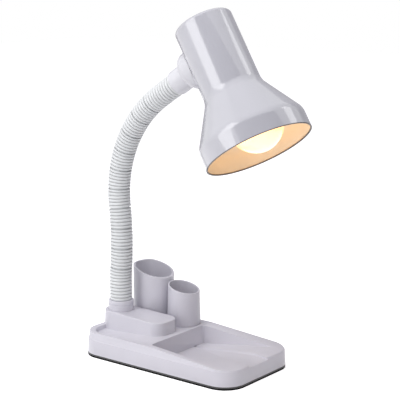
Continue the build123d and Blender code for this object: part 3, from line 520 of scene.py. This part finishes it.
def round_ring(bm, radius, height, width, segments):
    """Rounds the ring edge at this radius and height with a bevel of this width."""
    ring = [
        edge
        for edge in bm.edges
        if all(
            abs(hypot(vert.co.x, vert.co.y) - radius) < TOUCH and abs(vert.co.z - height) < TOUCH
            for vert in edge.verts
        )
    ]
    bmesh.ops.bevel(
        bm,
        geom=ring,
        offset=width,
        offset_type="OFFSET",
        segments=segments,
        profile=0.5,
        affect="EDGES",
        material=-1,
        clamp_overlap=True,
    )


def from_frame(node):
    """A welded copy of a frame node's mesh, with its flat faces made whole again."""
    bm = bmesh.new()
    bm.from_mesh(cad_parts[node].data)
    bmesh.ops.remove_doubles(bm, verts=bm.verts, dist=WELD)
    bmesh.ops.dissolve_limit(bm, angle_limit=FLAT_ANGLE, verts=bm.verts, edges=bm.edges)
    return bm


def soften(bm):
    """Bevels the sharp edges of a moulded piece."""
    sharp = [
        edge for edge in bm.edges if edge.is_manifold and edge.calc_face_angle() > SHARP_ANGLE
    ]
    bmesh.ops.bevel(
        bm,
        geom=sharp,
        offset=sizes().edge_round,
        offset_type="OFFSET",
        segments=2,
        profile=0.5,
        affect="EDGES",
        material=-1,
        clamp_overlap=True,
        harden_normals=False,
    )


# ---------------------------------------------------------------- base
class DESKLAMP_OT_base(bpy.types.Operator):
    """Finish the moulded base shell with softened edges"""

    bl_idname = "desk_lamp.base"
    bl_label = "Base Shell"

    def execute(self, context):
        bm = from_frame("base_shell")
        soften(bm)
        add_piece("base_moulding", bm, "base", [shell_plastic()], ["base_shell"])
        return {"FINISHED"}


class DESKLAMP_OT_cups(bpy.types.Operator):
    """Finish the two pen cups with softened rims and feet"""

    bl_idname = "desk_lamp.cups"
    bl_label = "Pen Cups"

    def execute(self, context):
        for node, name in (("pen_cup_small", "small_cup"), ("pen_cup_large", "large_cup")):
            bm = from_frame(node)
            soften(bm)
            add_piece(name, bm, "base", [shell_plastic()], [node])
        return {"FINISHED"}


# ---------------------------------------------------------------- neck
class DESKLAMP_OT_collars(bpy.types.Operator):
    """Turn the collars at both ends of the neck"""

    bl_idname = "desk_lamp.collars"
    bl_label = "Collars"

    around = 96

    def execute(self, context):
        radius = sizes().lower_collar
        foot, line, top = 0.0424, 0.0502, 0.0547
        line_depth, top_round = 0.0005, 0.001
        bm = drawn(
            (
                (NIPPLE_HOLE, foot),
                (radius, foot),
                (radius, line - line_depth),
                (radius - line_depth, line),
                (radius, line + line_depth),
                (radius, top),
                (NIPPLE_HOLE, top),
            )
        )
        spun(bm, self.around)
        round_ring(bm, radius, top, top_round, 4)
        station = placed(Vector((NECK_START.x, NECK_START.y, 0.0)), UP, RIGHT)
        bmesh.ops.transform(bm, matrix=station, verts=bm.verts)
        add_piece("lower_collar", bm, "base", [shell_plastic()], ["neck_collar"])

        radius = sizes().upper_collar
        end = sizes().upper_collar_length
        lead, end_round = 0.0007, 0.0003
        chamber = end / 2 + FLANGE_THICKNESS + 2 * SWIVEL_GAP
        bm = drawn(
            (
                (FLANGE_CHAMBER, 0.0),
                (radius - lead, 0.0),
                (radius, lead),
                (radius, end),
                (NIPPLE_HOLE, end),
                (NIPPLE_HOLE, chamber),
                (FLANGE_CHAMBER, chamber),
            )
        )
        spun(bm, self.around)
        round_ring(bm, radius, end, end_round, 3)
        bmesh.ops.transform(bm, matrix=neck_station(NECK_LENGTH), verts=bm.verts)
        add_piece(
            "neck_end_collar", bm, "neck_11", [swivel_plastic()], ["upper_collar"]
        )
        return {"FINISHED"}


class DESKLAMP_OT_neck(bpy.types.Operator):
    """Draw the ribbed sleeves of the neck, one for each of its joints"""

    bl_idname = "desk_lamp.neck"
    bl_label = "Ribbed Neck"

    around = 48

    def rib_half(self, hinged):
        """(distance in from the rib's end, radius) from the root up to the crest."""
        foot, flank = (SLOT_HALF, SLOT_FLANK) if hinged else (RIB_FOOT, RIB_FLANK)
        crest = sizes().rib_crest
        return [(foot, sizes().rib_root)] + [(step, crest - depth) for step, depth in flank]

    def dome(self, hinge, radius, lip):
        """The rings of the ball or socket round a hinge, from the turn of its lip to the bore."""
        last = pi / 2 - asin(sizes().sleeve_bore / radius)
        made = []
        for step in range(DOME_STEPS + 1):
            turn = lip + (last - lip) * step / DOME_STEPS
            place = hinge @ Matrix.Translation((0, 0, radius * sin(turn)))
            made.append((place, radius * cos(turn)))
        return made

    def rings(self, first_rib, last_rib, hinged_below, hinged_above):
        """The (place, radius) of every ring round one sleeve: ribs, ball, bore and socket."""
        made = []
        for rib in range(first_rib, last_rib):
            foot = rib * RIB_PITCH
            top = foot + RIB_PITCH
            rising = self.rib_half(hinged_below and rib == first_rib)
            falling = self.rib_half(hinged_above and rib == last_rib - 1)
            made += [(neck_station(foot + step), radius) for step, radius in rising]
            made += [(neck_station(top - step), radius) for step, radius in reversed(falling)]
        if hinged_above:
            ball = sizes().ball
            made += self.dome(neck_station(last_rib * RIB_PITCH), ball, -asin(SLOT_HALF / ball))
        bore = sizes().sleeve_bore
        for rib in range(last_rib, first_rib - 1, -1):
            made.append((neck_station(rib * RIB_PITCH), bore))
        if hinged_below:
            socket = sizes().socket
            hinge = neck_station(first_rib * RIB_PITCH)
            made = [ring for ring in made if not self.in_socket(ring, hinge)]
            made += reversed(self.dome(hinge, socket, asin(SLOT_HALF / socket)))
        return made

    def in_socket(self, ring, hinge):
        """Whether a bore ring falls inside the socket, where there is no bore."""
        place, radius = ring
        gap = (place.translation - hinge.translation).length
        return radius == sizes().sleeve_bore and gap < sizes().socket

    def sleeve(self, rings):
        """Extrudes one circle from ring to ring and joins the last ring to the first."""
        bm = bmesh.new()
        place, radius = rings[0]
        made = bmesh.ops.create_circle(
            bm, cap_ends=False, segments=self.around, radius=radius, matrix=place
        )
        first = list({edge for vert in made["verts"] for edge in vert.link_edges})
        loop = first
        for new_place, new_radius in rings[1:]:
            grown = bmesh.ops.extrude_edge_only(bm, edges=loop)["geom"]
            verts = [item for item in grown if isinstance(item, bmesh.types.BMVert)]
            loop = [item for item in grown if isinstance(item, bmesh.types.BMEdge)]
            share = new_radius / radius
            move = new_place @ Matrix.Diagonal((share, share, 1.0, 1.0)) @ place.inverted()
            bmesh.ops.transform(bm, matrix=move, verts=verts)
            place, radius = new_place, new_radius
        bmesh.ops.bridge_loops(bm, edges=first + loop)
        bmesh.ops.recalc_face_normals(bm, faces=bm.faces)
        return bm

    def mark_ribs(self, piece, first_rib, last_rib):
        """Writes how deep each point lies between the ribs, for the painted shade in the grooves.

        It is 0 on a crest, 1 at the root, and 0 again past the root, in the slots and the bore.
        """
        past_root = 1.02
        crest = sizes().rib_crest
        drop = crest - sizes().rib_root
        depth = piece.data.attributes.new("rib_depth", "FLOAT", "POINT")
        half_pitches = range(2 * first_rib - 2, 2 * last_rib + 3)
        stations = [neck_station(step * RIB_PITCH / 2) for step in half_pitches]
        for vert, value in zip(piece.data.vertices, depth.data):
            nearest = min(stations, key=lambda place: (vert.co - place.translation).length)
            local = nearest.inverted() @ vert.co
            below = (crest - hypot(local.x, local.y)) / drop
            value.value = max(0.0, below) if below < past_root else 0.0

    def execute(self, context):
        first_rib = 0
        for number, count in enumerate(SEGMENT_RIBS, start=1):
            last_rib = first_rib + count
            rings = self.rings(first_rib, last_rib, number > 1, number < len(SEGMENT_RIBS))
            piece = add_piece(
                f"ribbed_sleeve_{number:02d}",
                self.sleeve(rings),
                "base" if number == 1 else f"neck_{number:02d}",
                [sleeve_plastic()],
                [f"neck_sleeve_{number:02d}"],
            )
            self.mark_ribs(piece, first_rib, last_rib)
            first_rib = last_rib
        return {"FINISHED"}


# ---------------------------------------------------------------- head
class DESKLAMP_OT_swivel(bpy.types.Operator):
    """Turn the domed swivel disc and saddle it on the shade's cap"""

    bl_idname = "desk_lamp.swivel"
    bl_label = "Swivel Disc"

    def execute(self, context):
        foot = sizes().upper_collar_length + SWIVEL_GAP
        rim, rise = sizes().disc, 0.0088
        cheek_radius, cheek_rise = 0.0188, 0.0026
        hollow, hub, hollow_foot = 0.017, 0.008, foot + rise / 2
        seat = HEAD_REACH - sizes().cap / 2
        bm = bmesh.new()
        # The dome is an arc through the collar's edge, the cheek and the rim.
        start = Vector((sizes().upper_collar, foot))
        cheek = Vector((cheek_radius, foot + cheek_rise))
        end = Vector((rim, foot + rise))
        centre = arc_centre(start, cheek, end)
        turn = (end - centre).angle_signed(start - centre)
        corner = bm.verts.new((start.x, 0.0, start.y))
        bmesh.ops.spin(
            bm,
            geom=[corner],
            cent=(centre.x, 0.0, centre.y),
            axis=(0.0, 1.0, 0.0),
            angle=-turn,
            steps=12,
        )
        last = max(bm.verts, key=lambda vert: (vert.co - corner.co).length)
        for radius, height in (
            (rim, seat),
            (hollow, seat),
            (hollow, hollow_foot),
            (hub, hollow_foot),
            (hub, seat),
            (NIPPLE_HOLE, seat),
            (NIPPLE_HOLE, foot),
        ):
            new = bm.verts.new((radius, 0.0, height))
            bm.edges.new((last, new))
            last = new
        bm.edges.new((last, corner))
        spun(bm, 120)
        seated = sizes().cap + SADDLE_GAP
        for vert in bm.verts:
            if abs(vert.co.z - seat) < TOUCH:
                vert.co.z = HEAD_REACH - sqrt(seated**2 - self.across(vert.co) ** 2)
        bmesh.ops.transform(bm, matrix=neck_station(NECK_LENGTH), verts=bm.verts)
        add_piece("swivel_dome", bm, "head", [swivel_plastic()], ["swivel_disc"])
        return {"FINISHED"}

    def across(self, point):
        """How far a point of the disc lies from the plane through the neck and the shade's axis."""
        return point.x * cos(HEAD_SWIVEL) - point.y * sin(HEAD_SWIVEL)


def arc_centre(first, second, third):
    """The centre of the circle through three points of a plane."""
    one = second - first
    two = third - first
    double = 2 * one.cross(two)
    return first + Vector(
        (
            (two.y * one.length_squared - one.y * two.length_squared) / double,
            (one.x * two.length_squared - two.x * one.length_squared) / double,
        )
    )


class DESKLAMP_OT_shade(bpy.types.Operator):
    """Turn the bell-shaped shade, gloss outside and satin inside"""

    bl_idname = "desk_lamp.shade"
    bl_label = "Shade"

    def execute(self, context):
        wall = sizes().shade_wall
        cap, mouth = sizes().cap, sizes().mouth
        hem = mouth - sizes().hem
        # Heights go down the shade's axis, from where it crosses the neck's line.
        top, edge, cone_start, cone_end, lip = -0.0375, -0.0355, 0.0448, 0.0889, 0.1091
        hem_top, rim_shade_line = lip - 0.0012, lip - 0.0006
        crown = 0.012
        start_round, end_round, rim_round = 0.018, 0.014, 0.0003
        flare = atan2(mouth - cap, cone_end - cone_start)
        bend = tan(flare / 2)
        shift = wall * bend
        bm = drawn(
            (
                (0.0, top),
                (crown, top),
                (cap, edge),
                (cap, cone_start),
                (mouth, cone_end),
                (mouth, rim_shade_line),
                (mouth, lip),
                (hem, lip),
                (hem, hem_top),
                (mouth - wall, hem_top),
                (mouth - wall, cone_end + shift),
                (cap - wall, cone_start + shift),
                (cap - wall, edge + wall),
                (crown, top + wall),
                (0.0, top + wall),
            ),
            closed=False,
        )
        spun(bm, 160)
        for radius, height, width, segments in (
            (crown, top, 0.0075, 5),
            (cap, edge, 0.0032, 8),
            (crown, top + wall, 0.0078, 5),
            (cap - wall, edge + wall, 0.0024, 6),
            (cap, cone_start, start_round * bend, 8),
            (cap - wall, cone_start + shift, (start_round + wall) * bend, 8),
            (mouth, cone_end, end_round * bend, 8),
            (mouth - wall, cone_end + shift, (end_round - wall) * bend, 8),
            (mouth, lip, rim_round, 3),
            (hem, lip, rim_round, 3),
        ):
            round_ring(bm, radius, height, width, segments)
        bmesh.ops.recalc_face_normals(bm, faces=bm.faces)
        lining, rim = 1, 2
        for face in bm.faces:
            middle = face.calc_center_median()
            outward = Vector((middle.x, middle.y, 0.0)).dot(face.normal)
            hemmed = middle.z > hem_top - TOUCH and hypot(middle.x, middle.y) < mouth - wall / 2
            # Faces of the hem get the near-black rim colour, a painted shade and painted
            # reflection.
            if middle.z > rim_shade_line or hemmed:
                face.material_index = rim
            elif outward < 0 or (face.normal.z > 0.5 and middle.z < 0):
                face.material_index = lining
        bmesh.ops.transform(bm, matrix=hanging_station(HEAD_REACH, HEAD_SWIVEL), verts=bm.verts)
        finishes = [gloss_enamel(), satin_lining(), rim_painted_shade()]
        add_piece("shade_bell", bm, "head", finishes, ["shade_shell"])
        return {"FINISHED"}


class DESKLAMP_OT_bulb(bpy.types.Operator):
    """Blow the bulb's opal globe"""

    bl_idname = "desk_lamp.bulb"
    bl_label = "Bulb"

    def execute(self, context):
        radius = sizes().bulb
        centre, foot, neck = 0.084, 0.027, 0.0132
        flare, neck_rise = 0.0078, 0.014
        # The globe's arc ends at 45 degrees, where the flank goes on at the same slope.
        waist = radius * sin(radians(45))
        bm = bmesh.new()
        pole = bm.verts.new((0.0, 0.0, centre + radius))
        bmesh.ops.spin(
            bm,
            geom=[pole],
            cent=(0.0, 0.0, centre),
            axis=(0.0, 1.0, 0.0),
            angle=radians(135),
            steps=24,
        )
        last = min(bm.verts, key=lambda vert: vert.co.z)
        flank = interpolate_bezier(
            Vector((waist, 0.0, centre - waist)),
            Vector((waist - flare, 0.0, centre - waist - flare)),
            Vector((neck, 0.0, foot + neck_rise)),
            Vector((neck, 0.0, foot)),
            12,
        )
        for point in flank[1:]:
            new = bm.verts.new(point)
            bm.edges.new((last, new))
            last = new
        bm.edges.new((last, bm.verts.new((0.0, 0.0, foot))))
        spun(bm, 96)
        station = hanging_station(HEAD_REACH + HOLDER_OFFSET, HOLDER_SWIVEL)
        bmesh.ops.transform(bm, matrix=station, verts=bm.verts)
        add_piece("opal_globe", bm, "head", [opal_glass()], ["bulb_globe"])
        return {"FINISHED"}


class DESKLAMP_OT_fittings(bpy.types.Operator):
    """Give the frame's own fittings their metals, rubbers and plastics"""

    bl_idname = "desk_lamp.fittings"
    bl_label = "Fittings"

    def execute(self, context):
        cores = [f"neck_core_{number:02d}" for number in range(1, len(SEGMENT_RIBS) + 1)]
        finishes = {
            foam_rubber: ("base_pad",),
            black_steel: ("bottom_plate",),
            zinc_steel: (
                "base_screws",
                "neck_nipple",
                "neck_washer",
                "neck_nut",
                "swivel_nipple",
                "swivel_washer",
                "swivel_nut",
                "holder_bracket",
                "holder_nipple",
                "holder_nut",
            ),
            cast_iron: ("ballast_weight",),
            black_rubber: ("cord_inlet",),
            nylon: ("terminal_block", "neck_bush"),
            phenolic: ("lampholder_cap", "lampholder_body"),
            brass: ("holder_thread", "holder_contact"),
            cap_metal: ("bulb_cap", "bulb_contact"),
            sleeve_plastic: cores,
        }
        for make, nodes in finishes.items():
            for node in nodes:
                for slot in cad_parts[node].material_slots:
                    slot.link = "OBJECT"
                    slot.material = make()
        return {"FINISHED"}


# ---------------------------------------------------------------- stage
class DESKLAMP_OT_stage(bpy.types.Operator):
    """Set up the pale floor, the soft lights, the mirror cards and the camera"""

    bl_idname = "desk_lamp.stage"
    bl_label = "Stage"

    def floor(self):
        bm = bmesh.new()
        bmesh.ops.create_grid(bm, x_segments=1, y_segments=1, size=4.0)
        mesh = bpy.data.meshes.new("studio_floor")
        bm.to_mesh(mesh)
        bm.free()
        piece = bpy.data.objects.new("studio_floor", mesh)
        bpy.context.scene.collection.objects.link(piece)
        material = bpy.data.materials.new("floor_white")
        material.use_nodes = True
        tree = material.node_tree
        shader = tree.nodes["Principled BSDF"]
        shader.inputs["Base Color"].default_value = scaled(WHITE, 0.86)
        shader.inputs["Roughness"].default_value = 0.9
        shader.inputs["Specular IOR Level"].default_value = 0.1
        shader.inputs["Emission Color"].default_value = scaled(WHITE, 1.0)
        lift = new_node(material, "ShaderNodeMath")
        lift.operation = "MULTIPLY"
        lift.inputs[1].default_value = studio().floor
        tree.links.new(self.seen(tree), lift.inputs[0])
        tree.links.new(lift.outputs["Value"], shader.inputs["Emission Strength"])
        mesh.materials.append(material)

    def seen(self, tree):
        """1 for the rays that show the background: camera, mirror and glass rays."""
        path = tree.nodes.new("ShaderNodeLightPath")
        first = tree.nodes.new("ShaderNodeMath")
        first.operation = "MAXIMUM"
        second = tree.nodes.new("ShaderNodeMath")
        second.operation = "MAXIMUM"
        tree.links.new(path.outputs["Is Camera Ray"], first.inputs[0])
        tree.links.new(path.outputs["Is Glossy Ray"], first.inputs[1])
        tree.links.new(first.outputs["Value"], second.inputs[0])
        tree.links.new(path.outputs["Is Transmission Ray"], second.inputs[1])
        return second.outputs["Value"]

    def world(self):
        world = bpy.data.worlds.new("studio_white")
        bpy.context.scene.world = world
        world.use_nodes = True
        tree = world.node_tree
        ambient = tree.nodes["Background"]
        ambient.inputs["Color"].default_value = scaled(studio().ambient, 1.0)
        white = tree.nodes.new("ShaderNodeBackground")
        white.inputs["Color"].default_value = scaled(WHITE, 1.0)
        mix = tree.nodes.new("ShaderNodeMixShader")
        tree.links.new(self.seen(tree), mix.inputs["Fac"])
        tree.links.new(ambient.outputs["Background"], mix.inputs[1])
        tree.links.new(white.outputs["Background"], mix.inputs[2])
        tree.links.new(mix.outputs["Shader"], tree.nodes["World Output"].inputs["Surface"])

    def lamp(self, name, place, target, width, height, watts):
        """A soft area light that the gloss doesn't mirror: the cards do that."""
        light = bpy.data.lights.new(name, "AREA")
        light.shape = "RECTANGLE"
        light.size = width
        light.size_y = height
        light.energy = watts
        lamp = bpy.data.objects.new(name, light)
        bpy.context.scene.collection.objects.link(lamp)
        lamp.location = place
        lamp.rotation_euler = (Vector(target) - Vector(place)).to_track_quat("-Z", "Y").to_euler()
        lamp.visible_glossy = False

    def sheet(self, name, place, target, width, height, tone, strength=1.0):
        """A flat sheet that is turned to its target and that the camera doesn't see."""
        bm = bmesh.new()
        bmesh.ops.create_grid(bm, x_segments=1, y_segments=1, size=0.5)
        bmesh.ops.scale(bm, vec=(width, height, 1.0), verts=bm.verts)
        mesh = bpy.data.meshes.new(name)
        bm.to_mesh(mesh)
        bm.free()
        sheet = bpy.data.objects.new(name, mesh)
        bpy.context.scene.collection.objects.link(sheet)
        sheet.location = place
        sheet.rotation_euler = (Vector(target) - Vector(place)).to_track_quat("Z", "Y").to_euler()
        material = bpy.data.materials.new(name)
        material.use_nodes = True
        tree = material.node_tree
        tree.nodes.remove(tree.nodes["Principled BSDF"])
        glow = tree.nodes.new("ShaderNodeEmission")
        glow.inputs["Color"].default_value = scaled(tone, 1.0)
        glow.inputs["Strength"].default_value = strength
        tree.links.new(glow.outputs["Emission"], tree.nodes["Material Output"].inputs["Surface"])
        mesh.materials.append(material)
        sheet.visible_camera = False
        sheet.visible_transmission = False
        return sheet

    def mirrored_only(self, sheet):
        """Leaves a sheet to the mirror rays, so that it lights and shades nothing."""
        sheet.visible_diffuse = False
        sheet.visible_shadow = False

    def towards(self, azimuth, elevation):
        """The way from the lamp at these angles in degrees, where azimuth 0 is the front."""
        turn, rise = radians(azimuth), radians(elevation)
        return Vector((sin(turn) * cos(rise), -cos(turn) * cos(rise), sin(rise)))

    def camera(self):
        data = bpy.data.cameras.new("photo_view")
        data.lens = studio().lens
        data.sensor_width = 36.0
        camera = bpy.data.objects.new("photo_view", data)
        bpy.context.scene.collection.objects.link(camera)
        camera.location = (-0.96840, -0.77761, 0.42009)
        camera.rotation_euler = (radians(78.85), 0.0, radians(-51.98))
        bpy.context.scene.camera = camera

    def execute(self, context):
        bpy.context.scene.view_settings.view_transform = "Standard"
        self.camera()
        self.floor()
        self.world()
        middle = (0.0, 0.0, 0.18)
        above, left = (-0.3, 0.0, 1.6), (-1.5, 0.35, 0.75)
        self.lamp("overhead_light", above, middle, 1.3, 1.3, studio().overhead)
        self.lamp("side_light", left, middle, 0.9, 1.1, studio().side)
        head = Vector((-0.009, -0.048, 0.332))
        card_distance, flag_distance = 1.4, 1.6
        for name, azimuth, elevation, width, height, share in (
            ("left_card", -115.0, 20.0, 0.75, 1.15, 1.0),
            ("right_card", 48.0, 38.0, 0.40, 0.5, 0.9),
            ("far_left_card", -150.0, 20.0, 1.2, 1.8, 0.42),
        ):
            place = head + self.towards(azimuth, elevation) * card_distance
            card = self.sheet(name, place, head, width, height, WHITE, studio().card * share)
            self.mirrored_only(card)
        right_front, low = (0.55, -0.75, 0.3), (0.0, 0.0, 0.15)
        self.sheet("dark_flag", right_front, low, 1.5, 0.6, (0.03, 0.03, 0.035))
        front = head + self.towards(-35.0, 36.0) * flag_distance
        right_rear = (1.0, 0.55, 0.55)
        for name, place, width, height, tone in (
            ("front_flag", front, 4.4, 1.2, (0.16, 0.155, 0.17)),
            ("grey_flag", right_rear, 2.2, 1.3, (0.46, 0.45, 0.48)),
        ):
            self.mirrored_only(self.sheet(name, place, head, width, height, tone))
        return {"FINISHED"}


# ---------------------------------------------------------------- panel
class DESKLAMP_PT_pieces(bpy.types.Panel):
    """Lists the lamp's pieces and settings in the 3D view's sidebar."""

    bl_idname = "DESKLAMP_PT_pieces"
    bl_label = "Desk Lamp"
    bl_space_type = "VIEW_3D"
    bl_region_type = "UI"
    bl_category = "Desk Lamp"

    def draw(self, context):
        for operator in OPERATORS:
            self.layout.operator(operator.bl_idname)
        for settings in (sizes(), colours(), studio()):
            box = self.layout.box()
            for name in settings.__annotations__:
                box.prop(settings, name)


OPERATORS = (
    DESKLAMP_OT_stage,
    DESKLAMP_OT_base,
    DESKLAMP_OT_cups,
    DESKLAMP_OT_collars,
    DESKLAMP_OT_neck,
    DESKLAMP_OT_swivel,
    DESKLAMP_OT_shade,
    DESKLAMP_OT_bulb,
    DESKLAMP_OT_fittings,
)
SETTINGS = (LampSizes, LampColours, StudioSettings)


def register():
    for item in SETTINGS + OPERATORS + (DESKLAMP_PT_pieces,):
        bpy.utils.register_class(item)
    bpy.types.Scene.desk_lamp_sizes = PointerProperty(type=LampSizes)
    bpy.types.Scene.desk_lamp_colours = PointerProperty(type=LampColours)
    bpy.types.Scene.desk_lamp_studio = PointerProperty(type=StudioSettings)


def unregister():
    del bpy.types.Scene.desk_lamp_studio
    del bpy.types.Scene.desk_lamp_colours
    del bpy.types.Scene.desk_lamp_sizes
    for item in reversed(SETTINGS + OPERATORS + (DESKLAMP_PT_pieces,)):
        bpy.utils.unregister_class(item)


def main():
    register()
    bpy.ops.desk_lamp.stage()
    bpy.ops.desk_lamp.base()
    bpy.ops.desk_lamp.cups()
    bpy.ops.desk_lamp.collars()
    bpy.ops.desk_lamp.neck()
    bpy.ops.desk_lamp.swivel()
    bpy.ops.desk_lamp.shade()
    bpy.ops.desk_lamp.bulb()
    bpy.ops.desk_lamp.fittings()


if __name__ == "__main__":
    main()
